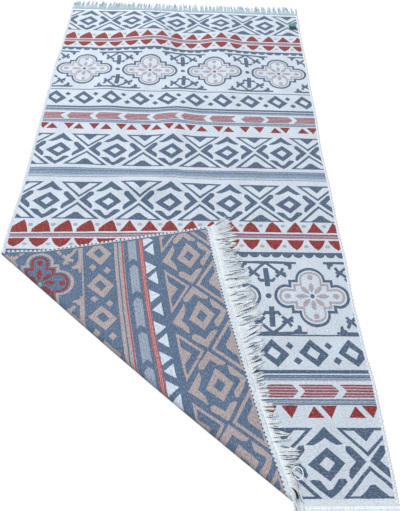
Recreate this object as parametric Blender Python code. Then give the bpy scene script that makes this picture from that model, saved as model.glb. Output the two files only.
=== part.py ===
"""A flat-woven kilim runner, lying flat with one corner folded over onto its face.

Metres, +Z up. X runs across the runner, Y along it, and the near end, with the folded corner, is at -Y.
The cloth is worked out flat first: u runs across from the left edge, v along from the near end, and the
function surface_point() lays each flat point down, over the fold and onto the face.
"""

import math

import bmesh
import bpy
from mathutils import Vector, geometry

# Driving dimensions of the woven cloth
WIDTH = 0.800
LENGTH = 1.517
THICKNESS = 0.0028
FAR_FRINGE = 0.050
NEAR_FRINGE = 0.061

# The middle of the whole runner, fringes and bulges included, in the flat cloth's own u and v
MIDDLE_U = 0.4023
MIDDLE_V = 0.7530

# The fold runs from the left edge to the near end. Its bend is rounder in the middle than at its ends.
FOLD_V_AT_LEFT_EDGE = 0.5164
FOLD_U_AT_NEAR_END = 0.6390
BEND_RADIUS_ENDS = 0.0090
BEND_RADIUS_MIDDLE = 0.0120
BEND_START_ENDS = 0.0015
BEND_START_MIDDLE = 0.0050
SETTLE_ANGLE = math.radians(17)
SETTLE_RADIUS = 0.055
FLAP_GAP = 0.0016

# Low ridges that the cloth keeps from having been packed: middle (u, v), the way the ridge runs, its half
# length, its half width and its height
RIDGES = (
    # u, v, angle in degrees, half length, half width, height
    (0.385, 0.960, 84, 0.260, 0.075, 0.0085),
    (0.180, 1.080, 100, 0.200, 0.070, 0.0050),
    (0.560, 1.180, 70, 0.210, 0.075, 0.0060),
    (0.330, 1.330, 95, 0.170, 0.080, 0.0065),
    (0.350, 0.715, 172, 0.240, 0.060, 0.0060),
    (0.640, 0.840, 20, 0.150, 0.060, 0.0040),
    (0.120, 0.790, 8, 0.130, 0.055, 0.0040),
)

# How far the two long edges wander from straight, towards +X: place v along the cloth, shift
LEFT_WANDER = (
    (0.00, 0.005), (0.20, 0.006), (0.30, 0.004), (0.36, 0.001), (0.43, -0.002), (0.50, -0.003),
    (0.55, -0.0045), (0.63, -0.001), (0.71, 0.002), (0.88, 0.0015), (1.08, 0.001), (1.19, 0.000),
    (1.32, 0.0045), (1.46, 0.006), (1.52, 0.007),
)
RIGHT_WANDER = (
    (0.00, 0.000), (0.05, 0.0015), (0.20, 0.003), (0.30, -0.003), (0.40, -0.006), (0.50, -0.003),
    (0.60, -0.0055), (0.72, -0.004), (0.85, -0.0065), (1.00, -0.0005), (1.11, 0.000), (1.25, 0.004),
    (1.38, 0.005), (1.52, 0.009),
)

# Meshing: spacing of the sheet's points across and along the flat, and along and across the fold
GRID = 0.036
GRID_ROW = 0.0313
GRID_STAGGER = 0.009
FOLD_STEP = 0.030
BEND_ROWS = 11
SETTLE_ROWS = 4
# How far the fold's rows reach before and past the bend, and how far grid points stay off them and off edges
ROWS_BEFORE = 0.002
ROWS_PAST = 0.010
GRID_OFF_ROWS = 0.0144
POINTS_OFF_EDGE = 0.003
JOIN_DISTANCE = 0.00001

# Fringe strands: a three-sided lock of yarn, its root on a narrow strip parted from the cloth's edge
STRAND_PITCH = 0.0066
STRAND_WIDTH = 0.0031
STRAND_HEIGHT = 0.0021
STRAND_TIP = 0.45
STRIP_PART = 0.0005
STRIP_DEPTH = 0.0030
STRAND_STEPS = 3
CLEAR = 0.0005
# Strands start where the cloth has turned this far over the fold, lean towards the near end, and reach the
# face within a distance that grows with the height of their roots
LAST_TURN_WITH_STRANDS = math.radians(110)
FLAP_LEAN = -0.16
FAR_LEAN = 0.02
LEAN_SPREAD = 0.06
LENGTH_SPREAD = 0.07
FALL_SHORTEST = 0.018
FALL_SLOPE = 1.1

# The blank label, sewn on the face by the far right corner
LABEL_WIDTH = 0.026
LABEL_LENGTH = 0.036
LABEL_THICKNESS = 0.0008
LABEL_U = 0.774
LABEL_V = 1.444
LABEL_CORNER_RADIUS = 0.0015
LABEL_CORNER_STEPS = 4


def start_empty():
    """Removes every object, so that the file holds the runner alone."""
    for thing in list(bpy.data.objects):
        bpy.data.objects.remove(thing, do_unlink=True)


def make_material(name, colour, roughness):
    """A plain matt material in one colour."""
    material = bpy.data.materials.new(name)
    material.use_nodes = True
    shader = material.node_tree.nodes["Principled BSDF"]
    shader.inputs["Base Color"].default_value = (*colour, 1.0)
    shader.inputs["Roughness"].default_value = roughness
    shader.inputs["Metallic"].default_value = 0.0
    return material


def make_object(name, points, faces, material):
    """One closed body from points and faces, with its faces turned outwards."""
    mesh = bpy.data.meshes.new(name)
    mesh.from_pydata([tuple(p) for p in points], [], faces)
    mesh.materials.append(material)
    shell = bmesh.new()
    shell.from_mesh(mesh)
    bmesh.ops.recalc_face_normals(shell, faces=shell.faces)
    if shell.calc_volume(signed=True) < 0:
        bmesh.ops.reverse_faces(shell, faces=shell.faces)
    shell.to_mesh(mesh)
    shell.free()
    thing = bpy.data.objects.new(name, mesh)
    bpy.context.scene.collection.objects.link(thing)
    return thing


# The fold line and the two directions it gives: along it, and out over the folded corner
FOLD_A = Vector((0.0, FOLD_V_AT_LEFT_EDGE))
FOLD_B = Vector((FOLD_U_AT_NEAR_END, 0.0))
FOLD_LENGTH = (FOLD_B - FOLD_A).length
ALONG = (FOLD_B - FOLD_A) / FOLD_LENGTH
OUTWARD = Vector((ALONG.y, -ALONG.x))


def bell(t):
    """A smooth hump from 0 at -1, through 1 at 0, to 0 at 1."""
    return math.cos(math.pi / 2 * t) ** 2 if abs(t) < 1 else 0.0


def ridge_height(u, v):
    """Height of the floor side of the cloth over the floor: nothing but on the packing ridges."""
    total = 0.0
    for ru, rv, angle, half_length, half_width, height in RIDGES:
        c, s = math.cos(math.radians(angle)), math.sin(math.radians(angle))
        du, dv = u - ru, v - rv
        total += height * bell((du * c + dv * s) / half_length) * bell((dv * c - du * s) / half_width)
    return total


def eased(table, v):
    """The value of a (place, value) table at v, eased from row to row and constant past its ends."""
    for (v0, a), (v1, b) in zip(table, table[1:]):
        if v < v1:
            part = max(0.0, (v - v0) / (v1 - v0))
            return a + (b - a) * part * part * (3 - 2 * part)
    return table[-1][1]


def edge_wander(u, v):
    """Sideways wander of the cloth, full at the long edges and nothing along the middle."""
    reach = abs(2 * u / WIDTH - 1) ** 3
    return reach * eased(RIGHT_WANDER if u > WIDTH / 2 else LEFT_WANDER, v)


def bend_at(s):
    """The bend's radius and where it starts, at the distance s along the fold."""
    middle = math.sin(math.pi * min(max(s / FOLD_LENGTH, 0.0), 1.0))
    radius = BEND_RADIUS_ENDS + (BEND_RADIUS_MIDDLE - BEND_RADIUS_ENDS) * middle
    start = BEND_START_ENDS + (BEND_START_MIDDLE - BEND_START_ENDS) * middle
    return radius, start


def settle_run(radius):
    """Length of the straight slope between the bend and the place where the flap lies down."""
    drop = radius * (1 + math.cos(SETTLE_ANGLE)) - THICKNESS - FLAP_GAP
    return (drop - SETTLE_RADIUS * (1 - math.cos(SETTLE_ANGLE))) / math.sin(SETTLE_ANGLE)


def fold_section(t, radius):
    """The fold's cross-section: for cloth t past the bend's start, how far out, how high, and its slope."""
    over = math.pi + SETTLE_ANGLE
    bend_length = radius * over
    run = settle_run(radius)
    if t <= 0:
        return t, 0.0, 0.0
    if t < bend_length:
        turn = t / radius
        return radius * math.sin(turn), radius * (1 - math.cos(turn)), turn
    x = -radius * math.sin(SETTLE_ANGLE)
    z = radius * (1 + math.cos(SETTLE_ANGLE))
    t -= bend_length
    if t < run:
        return x - t * math.cos(SETTLE_ANGLE), z - t * math.sin(SETTLE_ANGLE), over
    x -= run * math.cos(SETTLE_ANGLE)
    z -= run * math.sin(SETTLE_ANGLE)
    t -= run
    settle_length = SETTLE_RADIUS * SETTLE_ANGLE
    if t < settle_length:
        left = SETTLE_ANGLE - t / SETTLE_RADIUS
        x -= SETTLE_RADIUS * (math.sin(SETTLE_ANGLE) - math.sin(left))
        z -= SETTLE_RADIUS * (math.cos(left) - math.cos(SETTLE_ANGLE))
        return x, z, math.pi + left
    x -= SETTLE_RADIUS * math.sin(SETTLE_ANGLE) + (t - settle_length)
    return x, THICKNESS + FLAP_GAP, math.pi


def surface_point(u, v, offset=0.0):
    """Lays the flat point (u, v) down. offset is measured from mid-thickness towards the patterned face."""
    flat = Vector((u, v)) - FOLD_A
    s = flat.dot(ALONG)
    radius, start = bend_at(s)
    t = flat.dot(OUTWARD) - start
    x, z, turn = fold_section(t, radius)
    # the cloth's normal leans back over the fold as the cloth turns
    x -= offset * math.sin(turn)
    z += offset * math.cos(turn)
    place = FOLD_A + ALONG * s + OUTWARD * (x + start)
    place.x += edge_wander(u, v)
    z += THICKNESS / 2 + ridge_height(place.x, place.y)
    return Vector((place.x - MIDDLE_U, place.y - MIDDLE_V, z))


def fold_rows():
    """Distances past the fold line at which the sheet needs a row of points, closest on the bend."""
    radius = BEND_RADIUS_MIDDLE
    bend_length = radius * (math.pi + SETTLE_ANGLE)
    run = settle_run(radius)
    settle_length = SETTLE_RADIUS * SETTLE_ANGLE
    first = BEND_START_ENDS - ROWS_BEFORE
    last = BEND_START_MIDDLE + bend_length
    rows = [first + (last - first) * k / BEND_ROWS for k in range(BEND_ROWS + 1)]
    rows.append(last + run / 2)
    rows += [last + run + settle_length * (k / SETTLE_ROWS) for k in range(SETTLE_ROWS + 1)]
    rows.append(rows[-1] + ROWS_PAST)
    return rows


def row_ends(t):
    """Where a row parallel to the fold meets the left edge (u = 0) and the near end (v = 0)."""
    at_left = (t + FOLD_A.dot(OUTWARD)) / OUTWARD.y
    at_near = (t + FOLD_A.dot(OUTWARD)) / OUTWARD.x
    return Vector((0.0, at_left)), Vector((at_near, 0.0))


def spaced(start, end, step):
    """Evenly spaced values from start to end, about step apart."""
    count = max(1, round(abs(end - start) / step))
    return [start + (end - start) * k / count for k in range(count + 1)]


def sheet_points():
    """Flat points of the sheet and its outline: rows along the fold, and a staggered grid elsewhere."""
    rows = fold_rows()
    inner = []
    left = []
    near = []
    for number, t in enumerate(rows):
        a, b = row_ends(t)
        left.append(a.y)
        near.append(b.x)
        count = max(2, round((b - a).length / FOLD_STEP))
        shift = 0.5 * (number % 2)
        for k in range(1, count + 1):
            point = a.lerp(b, (k - shift) / count)
            if min(point) > POINTS_OFF_EDGE:
                inner.append(point)
    low, high = rows[0], rows[-1]
    left_edge = spaced(0.0, min(left), GRID) + sorted(left)[1:-1] + spaced(max(left), LENGTH, GRID)
    near_edge = spaced(0.0, min(near), GRID) + sorted(near)[1:-1] + spaced(max(near), WIDTH, GRID)
    right_edge = spaced(0.0, LENGTH, GRID)
    far_edge = spaced(0.0, WIDTH, GRID)
    outline = [Vector((u, 0.0)) for u in near_edge]
    outline += [Vector((WIDTH, v)) for v in right_edge[1:]]
    outline += [Vector((u, LENGTH)) for u in reversed(far_edge[:-1])]
    outline += [Vector((0.0, v)) for v in reversed(left_edge[1:-1])]
    for j, v in enumerate(spaced(0.0, LENGTH, GRID_ROW)[1:-1]):
        for u in spaced(0.0, WIDTH, GRID)[1:-1]:
            point = Vector((u + GRID_STAGGER * (1 if j % 2 else -1), v))
            t = (point - FOLD_A).dot(OUTWARD)
            if not low - GRID_OFF_ROWS < t < high + GRID_OFF_ROWS:
                inner.append(point)
    return outline, inner


def build_cloth(material):
    """The woven sheet: one closed body with its face, its back and a narrow wall round its edge."""
    outline, inner = sheet_points()
    border = [tuple(range(len(outline)))]
    points, _, faces, *_ = geometry.delaunay_2d_cdt(outline + inner, [], border, 1, JOIN_DISTANCE)
    count = len(points)
    top = [surface_point(p.x, p.y, THICKNESS / 2) for p in points]
    bottom = [surface_point(p.x, p.y, -THICKNESS / 2) for p in points]
    body = [tuple(face) for face in faces]
    area = sum((points[f[1]] - points[f[0]]).cross(points[f[2]] - points[f[0]]) for f in body)
    if area < 0:
        body = [face[::-1] for face in body]
    edges = {(f[k], f[(k + 1) % 3]) for f in body for k in range(3)}
    rim = [edge for edge in edges if edge[::-1] not in edges]
    under = [tuple(i + count for i in face[::-1]) for face in body]
    walls = [(a, a + count, b + count, b) for a, b in rim]
    return make_object("cloth", top + bottom, body + under + walls, material)


def floor_lift(place):
    """Height at which a strand lies off the cloth's ends: on the floor."""
    return 0.0


def face_lift(place):
    """Height at which a strand lies on the cloth's face."""
    return THICKNESS + CLEAR + ridge_height(place.x + MIDDLE_U, place.y + MIDDLE_V)


def wave(number, step, phase):
    """An uneven but repeatable value from -1 to 1 for one strand: the mean of two sines out of step."""
    return (math.sin(number * step + phase) + math.sin(number * step * math.e)) / 2


def strand_path(root, direction, length, lean, lift, fall):
    """Underside line of a strand: it falls from its root onto what is under it and then lies level."""
    side = Vector((-direction.y, direction.x))
    path = []
    for k in range(1, STRAND_STEPS + 1):
        part = k / STRAND_STEPS
        place = root.xy + direction * (length * part) + side * (lean * length * part * part)
        rest = lift(place)
        drop = max(0.0, 1.0 - length * part / fall)
        path.append(Vector((place.x, place.y, rest + max(0.0, root.z - rest) * drop)))
    return path


def build_fringe(name, roots, material):
    """A row of strands fused to one narrow strip, as one closed body.

    A root is (back, left, right, up, path): the strip's back corner, its two front corners on the
    underside, the way up there, and the line that the strand's underside follows.
    """
    points = []
    faces = []
    strip = []
    for back, left, right, up, path in roots:
        b = len(points)
        crest = (left + right) / 2 + up
        points += [back, back + up, left, right, crest]
        strip.append((b, b + 1, b + 2, b + 3, b + 4))
        faces.append((b, b + 2, b + 3))
        across = (right - left).normalized()
        before = (b + 2, b + 3, b + 4)
        for k, place in enumerate(path, 1):
            size = 1 - (1 - STRAND_TIP) * k / len(path)
            half = across * (STRAND_WIDTH / 2 * size)
            n = len(points)
            points += [place - half, place + half, place + Vector((0, 0, STRAND_HEIGHT * size))]
            now = (n, n + 1, n + 2)
            for i, j in ((0, 1), (1, 2), (2, 0)):
                faces.append((before[i], before[j], now[j], now[i]))
            before = now
        faces.append(before)
    for one, two in zip(strip, strip[1:]):
        back, back_up, left, right, crest = one
        back2, back_up2, left2, right2, crest2 = two
        faces.append((back, right, left2, back2))
        faces.append((back_up, crest, crest2, back_up2))
        faces.append((right, left2, crest2, crest))
        faces.append((back, back_up, back_up2, back2))
    back, back_up, left, right, crest = strip[0]
    faces.append((back, left, crest, back_up))
    back, back_up, left, right, crest = strip[-1]
    faces.append((back, right, crest, back_up))
    return make_object(name, points, faces, material)


def strand_length(full, number):
    """Length of one strand from the strip to its tip: the longest reach the fringe's full length."""
    return full * (1 - LENGTH_SPREAD + LENGTH_SPREAD * wave(number, 1.9, 0.4)) - STRIP_DEPTH


def floor_roots(u_values, sign, end_v, full, lean):
    """Strands that lie on the floor off one end of the cloth, the way that sign points along Y."""
    roots = []
    for number, u in enumerate(u_values):
        back = surface_point(u, end_v + sign * STRIP_PART)
        front = surface_point(u, end_v + sign * (STRIP_PART + STRIP_DEPTH))
        back.z = front.z = 0.0
        half = Vector((STRAND_WIDTH / 2, 0, 0))
        bend = sign * (lean + LEAN_SPREAD * wave(number, 0.53, 1.1))
        path = strand_path(front, Vector((0, sign)), strand_length(full, number), bend, floor_lift, full)
        roots.append((back, front - half, front + half, Vector((0, 0, STRAND_HEIGHT)), path))
    return roots


def fold_turn(u, v):
    """How far the cloth has turned over the fold at a flat point: 0 on the floor, pi on the flap."""
    flat = Vector((u, v)) - FOLD_A
    radius, start = bend_at(flat.dot(ALONG))
    return fold_section(flat.dot(OUTWARD) - start, radius)[2]


def flap_roots(u_values):
    """Strands of the folded-over near end: they fall from the flap onto the face and lie there."""
    roots = []
    under = (THICKNESS - STRAND_HEIGHT) / 2
    over_face = 2 * Vector((0, -1)).dot(ALONG) * ALONG - Vector((0, -1))
    for number, u in enumerate(u_values):
        back = surface_point(u, -STRIP_PART, THICKNESS / 2 - under)
        back_up = surface_point(u, -STRIP_PART, under - THICKNESS / 2)
        v = -STRIP_PART - STRIP_DEPTH
        left = surface_point(u - STRAND_WIDTH / 2, v, THICKNESS / 2 - under)
        right = surface_point(u + STRAND_WIDTH / 2, v, THICKNESS / 2 - under)
        up = back_up - back
        root = (left + right) / 2
        bend = FLAP_LEAN + LEAN_SPREAD * wave(number, 0.61, 2.0)
        fall = FALL_SHORTEST + FALL_SLOPE * root.z
        length = strand_length(NEAR_FRINGE, number)
        path = strand_path(root, over_face, length, bend, face_lift, fall)
        roots.append((back, left, right, up, path))
    return roots


def build_label(material):
    """A small blank woven label that lies on the face, with rounded corners and no print."""
    corner = LABEL_CORNER_RADIUS
    outline = []
    for cu, cv, start in ((1, -1, -90), (1, 1, 0), (-1, 1, 90), (-1, -1, 180)):
        for k in range(LABEL_CORNER_STEPS + 1):
            angle = math.radians(start + 90 * k / LABEL_CORNER_STEPS)
            u = LABEL_U + cu * (LABEL_WIDTH / 2 - corner) + corner * math.cos(angle)
            v = LABEL_V + cv * (LABEL_LENGTH / 2 - corner) + corner * math.sin(angle)
            outline.append((u, v))
    low = THICKNESS / 2 + CLEAR
    under = [surface_point(u, v, low) for u, v in outline]
    upper = [surface_point(u, v, low + LABEL_THICKNESS) for u, v in outline]
    n = len(outline)
    faces = [tuple(range(n))[::-1], tuple(range(n, 2 * n))]
    faces += [(k, (k + 1) % n, n + (k + 1) % n, n + k) for k in range(n)]
    return make_object("label", under + upper, faces, material)


def main():
    start_empty()
    woven = make_material("cotton_weave", (0.66, 0.73, 0.80), 0.92)
    yarn = make_material("fringe_yarn", (0.78, 0.84, 0.88), 0.90)
    tape = make_material("label_tape", (0.10, 0.32, 0.36), 0.70)
    build_cloth(woven)
    far = spaced(STRAND_PITCH / 2, WIDTH - STRAND_PITCH / 2, STRAND_PITCH)
    near = [u for u in far if u > FOLD_U_AT_NEAR_END + STRAND_PITCH / 2]
    flap = [u for u in far if fold_turn(u, 0.0) > LAST_TURN_WITH_STRANDS]
    build_fringe("fringe_far", floor_roots(far, 1, LENGTH, FAR_FRINGE, FAR_LEAN), yarn)
    build_fringe("fringe_near", floor_roots(near, -1, 0.0, NEAR_FRINGE, 0.0), yarn)
    build_fringe("fringe_flap", flap_roots(flap), yarn)
    build_label(tape)


main()
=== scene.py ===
"""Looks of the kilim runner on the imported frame: woven pattern, stitched edges, fringes, blank label."""

import math
import random

import bpy
from mathutils import Matrix, Vector, geometry, noise


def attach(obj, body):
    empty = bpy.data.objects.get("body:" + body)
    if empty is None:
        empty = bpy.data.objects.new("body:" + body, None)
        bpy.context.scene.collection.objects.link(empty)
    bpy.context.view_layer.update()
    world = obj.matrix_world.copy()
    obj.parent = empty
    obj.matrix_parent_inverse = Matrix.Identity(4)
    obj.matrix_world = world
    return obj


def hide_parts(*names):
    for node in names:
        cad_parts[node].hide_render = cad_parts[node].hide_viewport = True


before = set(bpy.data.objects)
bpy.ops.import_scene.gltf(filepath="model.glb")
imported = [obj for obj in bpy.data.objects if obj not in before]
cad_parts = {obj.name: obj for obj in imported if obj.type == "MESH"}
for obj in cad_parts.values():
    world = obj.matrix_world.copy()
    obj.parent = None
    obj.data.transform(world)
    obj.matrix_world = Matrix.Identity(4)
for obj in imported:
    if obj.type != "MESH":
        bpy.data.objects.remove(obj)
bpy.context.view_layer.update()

# The view: a camera held about 0.85 m over the near end, looking down and along the runner, as in the
# photograph. Its places are in metres on the frame.
CAMERA_PLACE = Vector((0.0191, -0.7638, 0.8544))
CAMERA_AIM = Vector((0.0515, -0.2459, 0.0))
CAMERA_ROLL = math.radians(3.83)
SENSOR_MM = 36.0
LENS_MM = 38.44


def put_in_scene(name, data):
    thing = bpy.data.objects.new(name, data)
    bpy.context.scene.collection.objects.link(thing)
    return thing


camera_data = bpy.data.cameras.new("camera")
camera_data.sensor_fit = "HORIZONTAL"
camera_data.sensor_width = SENSOR_MM
camera_data.lens = LENS_MM
camera_data.clip_start = 0.02
camera = put_in_scene("camera", camera_data)
aim = (CAMERA_AIM - CAMERA_PLACE).to_track_quat("-Z", "Y").to_matrix()
rolled = aim @ Matrix.Rotation(CAMERA_ROLL, 3, "Z")
camera.matrix_world = Matrix.Translation(CAMERA_PLACE) @ rolled.to_4x4()
bpy.context.scene.camera = camera


# The kilim is one double-woven cotton cloth: two plies of weft change places to draw the pattern, so the
# back shows it in other colours. It is made flat here, in its own u (across) and v (along, from the near
# end), in metres.
WIDTH = 0.800
LENGTH = 1.517
THICKNESS = 0.0028
MIDDLE_U = 0.4023
MIDDLE_V = 0.7530

# The fold and the low packing ridges are the solid's own, repeated from its source
FOLD_A = Vector((0.0, 0.5164))
FOLD_B = Vector((0.6390, 0.0))
BEND_RADIUS = (0.0090, 0.0120)
BEND_START = (0.0015, 0.0050)
SETTLE_ANGLE = math.radians(17)
SETTLE_RADIUS = 0.055
FLAP_GAP = 0.0016
LEFT_WANDER = (
    (0.00, 0.005), (0.20, 0.006), (0.30, 0.004), (0.36, 0.001), (0.43, -0.002), (0.50, -0.003),
    (0.55, -0.0045), (0.63, -0.001), (0.71, 0.002), (0.88, 0.0015), (1.08, 0.001), (1.19, 0.000),
    (1.32, 0.0045), (1.46, 0.006), (1.52, 0.007),
)
RIGHT_WANDER = (
    (0.00, 0.000), (0.05, 0.0015), (0.20, 0.003), (0.30, -0.003), (0.40, -0.006), (0.50, -0.003),
    (0.60, -0.0055), (0.72, -0.004), (0.85, -0.0065), (1.00, -0.0005), (1.11, 0.000), (1.25, 0.004),
    (1.38, 0.005), (1.52, 0.009),
)
RIDGES = (
    # u, v, angle in degrees, half length, half width, height
    (0.385, 0.960, 84, 0.260, 0.075, 0.0085),
    (0.180, 1.080, 100, 0.200, 0.070, 0.0050),
    (0.560, 1.180, 70, 0.210, 0.075, 0.0060),
    (0.330, 1.330, 95, 0.170, 0.080, 0.0065),
    (0.350, 0.715, 172, 0.240, 0.060, 0.0060),
    (0.640, 0.840, 20, 0.150, 0.060, 0.0040),
    (0.120, 0.790, 8, 0.130, 0.055, 0.0040),
    # Two broad swells near the far end, placed over the solid's own ridges
    (0.275, 1.370, 92, 0.230, 0.135, 0.0105),
    (0.530, 1.360, 84, 0.200, 0.085, 0.0110),
    # A short one under the middle stripe, and a small pucker in the stripe itself
    (0.300, 0.705, 178, 0.105, 0.055, 0.0070),
    (0.384, 0.752, 96, 0.050, 0.034, 0.0045),
)
FOLD_LENGTH = (FOLD_B - FOLD_A).length
ALONG = (FOLD_B - FOLD_A) / FOLD_LENGTH
OUTWARD = Vector((ALONG.y, -ALONG.x))


def bell(t):
    return math.cos(math.pi / 2 * t) ** 2 if abs(t) < 1 else 0.0


def ridge_height(u, v):
    total = 0.0
    for ru, rv, angle, half_length, half_width, height in RIDGES:
        c, s = math.cos(math.radians(angle)), math.sin(math.radians(angle))
        du, dv = u - ru, v - rv
        total += height * bell((du * c + dv * s) / half_length) * bell((dv * c - du * s) / half_width)
    return total


def eased(table, v):
    for (v0, a), (v1, b) in zip(table, table[1:]):
        if v < v1:
            part = max(0.0, (v - v0) / (v1 - v0))
            return a + (b - a) * part * part * (3 - 2 * part)
    return table[-1][1]


def edge_wander(u, v):
    reach = abs(2 * u / WIDTH - 1) ** 3
    return reach * eased(RIGHT_WANDER if u > WIDTH / 2 else LEFT_WANDER, v)


def bend_at(s):
    middle = math.sin(math.pi * min(max(s / FOLD_LENGTH, 0.0), 1.0))
    return [low + (high - low) * middle for low, high in (BEND_RADIUS, BEND_START)]


def settle_run(radius):
    drop = radius * (1 + math.cos(SETTLE_ANGLE)) - THICKNESS - FLAP_GAP
    return (drop - SETTLE_RADIUS * (1 - math.cos(SETTLE_ANGLE))) / math.sin(SETTLE_ANGLE)


def fold_section(t, radius):
    """Across the fold, t past the bend's start: how far out, how high and how far turned the cloth is."""
    over = math.pi + SETTLE_ANGLE
    if t <= 0:
        return t, 0.0, 0.0
    if t < radius * over:
        turn = t / radius
        return radius * math.sin(turn), radius * (1 - math.cos(turn)), turn
    t -= radius * over
    x = -radius * math.sin(SETTLE_ANGLE)
    z = radius * (1 + math.cos(SETTLE_ANGLE))
    run = settle_run(radius)
    if t < run:
        return x - t * math.cos(SETTLE_ANGLE), z - t * math.sin(SETTLE_ANGLE), over
    t -= run
    x -= run * math.cos(SETTLE_ANGLE)
    z -= run * math.sin(SETTLE_ANGLE)
    if t < SETTLE_RADIUS * SETTLE_ANGLE:
        left = SETTLE_ANGLE - t / SETTLE_RADIUS
        x -= SETTLE_RADIUS * (math.sin(SETTLE_ANGLE) - math.sin(left))
        z -= SETTLE_RADIUS * (math.cos(left) - math.cos(SETTLE_ANGLE))
        return x, z, math.pi + left
    t -= SETTLE_RADIUS * SETTLE_ANGLE
    return x - SETTLE_RADIUS * math.sin(SETTLE_ANGLE) - t, THICKNESS + FLAP_GAP, math.pi


def surface_point(u, v, offset=0.0):
    """The place of flat point (u, v), offset from mid-thickness towards the face."""
    flat = Vector((u, v)) - FOLD_A
    s = flat.dot(ALONG)
    radius, start = bend_at(s)
    x, z, turn = fold_section(flat.dot(OUTWARD) - start, radius)
    place = FOLD_A + ALONG * s + OUTWARD * (x - offset * math.sin(turn) + start)
    place.x += edge_wander(u, v)
    z += offset * math.cos(turn) + THICKNESS / 2 + ridge_height(place.x, place.y)
    return Vector((place.x - MIDDLE_U, place.y - MIDDLE_V, z))


# Yarn colours: on the face, and what the back shows in the same place
YARNS = {
    "plain": ("#D6E1E9", "#D6E1E9"),
    "lock_stitch": ("#CBD7E1", "#3F5478"),
    "white": ("#C9D4E1", "#576C88"),
    "blue": ("#485C76", "#AC9F9F"),
    "beige": ("#A49FA8", "#863235"),
    "red": ("#842A2A", "#CFDDEA"),
    "wine": ("#76323D", "#98A5B5"),
    "wine_edge": ("#76323D", "#576C88"),
    "rose": ("#B599A4", "#909DB0"),
    "pink": ("#8C5E6E", "#8996A9"),
    "lilac": ("#8C8CA4", "#A84E50"),
    "ink": ("#566983", "#A65A5C"),
    "haze": ("#A6B6C8", "#C49292"),
    "steel": ("#7388A0", "#B26468"),
    "mist": ("#93A7BC", "#A59CA3"),
}


# The pattern, charted in millimetres. Each shape is (yarn, outline), with x across from a motif's middle
# and y up from a band's lower line. Later shapes lie over earlier ones.
WIDTH_MM = 1000 * WIDTH
LENGTH_MM = 1000 * LENGTH


def box(yarn, left, right, low, high):
    return (yarn, [(left, low), (right, low), (right, high), (left, high)])


def moved(shapes, dx, dy, flip_y=1):
    return [(yarn, [(x + dx, y * flip_y + dy) for x, y in outline]) for yarn, outline in shapes]


def stroke(yarn, line, width):
    """A woven line of even width along a few points."""
    left, right = [], []
    for k, (x, y) in enumerate(line):
        ax, ay = line[max(k - 1, 0)]
        bx, by = line[min(k + 1, len(line) - 1)]
        size = math.hypot(bx - ax, by - ay)
        nx, ny = -(by - ay) / size * width / 2, (bx - ax) / size * width / 2
        left.append((x + nx, y + ny))
        right.append((x - nx, y - ny))
    return (yarn, left + right[::-1])


def arc(x, y, rx, ry, start, end, count=7):
    turns = [math.radians(start + (end - start) * k / count) for k in range(count + 1)]
    return [(x + rx * math.cos(t), y + ry * math.sin(t)) for t in turns]


def oval(yarn, x, y, rx, ry):
    return (yarn, arc(x, y, rx, ry, 0, 330, 11))


# Where figures start and how far apart they are
CROSS_START, DIAMOND_START, DIAMOND_PITCH = -3.7, 72.5, 152.5
ARROW_START, ARROW_PITCH = 493, 82
RING_START, RING_PITCH = 30, 82.4
MEDALLION_START, SPRIG_START, MEDALLION_PITCH = 96, -4, 203.5
MEDALLION_LINE = 89
SCALLOP_START, SCALLOP_PITCH = 10, 26


def diamond_band():
    """Blue diamonds between crosses of outlined triangles, 117 mm high."""
    chevron = [(-38, 85), (-29, 85), (-4, 59), (-36, 30), (-40, 35), (-37, 46), (-23, 59), (-39, 76)]
    cross = [
        ("blue", [(-51, 117), (58, 117), (1, 67)]),
        ("white", [(-38, 112), (44, 112), (1, 75)]),
        ("blue", [(-19, 113), (22, 113), (2, 93)]),
        ("blue", [(-57, 0), (60, 0), (0, 52)]),
        ("white", [(-43, 3.5), (46, 3.5), (0, 44)]),
        ("blue", [(-26, 3), (-14, 12), (-4, 21), (5, 21), (15, 12), (27, 3)]),
        ("blue", chevron),
        ("blue", [(-1.5 - x, y + 1) for x, y in chevron]),
    ]
    diamond = [
        ("blue", [(3, 83), (33, 56), (1, 27), (-36, 54)]),
        ("white", [(0, 67), (14, 56), (1, 43), (-15, 54.5)]),
        ("blue", [(3, 119), (20, 101), (35, 88), (22, 87), (11, 92), (2, 99), (-9, 92), (-22, 86), (-36, 87),
                  (-20, 99)]),
        ("blue", [(-1, 0), (14, 10), (32, 26), (29, 31), (17, 31), (2, 14), (-5, 13), (-17, 28), (-29, 30),
                  (-37, 28), (-20, 13)]),
    ]
    shapes = []
    for k in range(6):
        shapes += moved(cross, CROSS_START + DIAMOND_PITCH * k, 0)
        shapes += moved(diamond, DIAMOND_START + DIAMOND_PITCH * k, 0)
    return shapes


def stripe_band(rows):
    return [box(yarn, 0, WIDTH_MM, low, high) for yarn, low, high in rows]


HANGING_PLACES = (13, 85, 156, 232, 302, 367, 428, 508, 584, 625, 701, 781)
STANDING_PLACES = (40, 115, 192, 264, 334, 399, 462, 539, 674, 754)


def small_triangle_band():
    """Small red triangles, 24 mm high, by turns hanging and standing, with two hanging ones side by side."""
    hang = ("red", [(-16, 24), (16, 24), (2, 0)])
    stand = ("red", [(-17, 1), (16, 1), (-2, 23)])
    shapes = []
    for x in HANGING_PLACES:
        shapes += moved([hang], x, 0)
    for x in STANDING_PLACES:
        shapes += moved([stand], x, 0)
    return shapes


ARROW_HEIGHT = 25
ARROW_ROWS = 9


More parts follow.
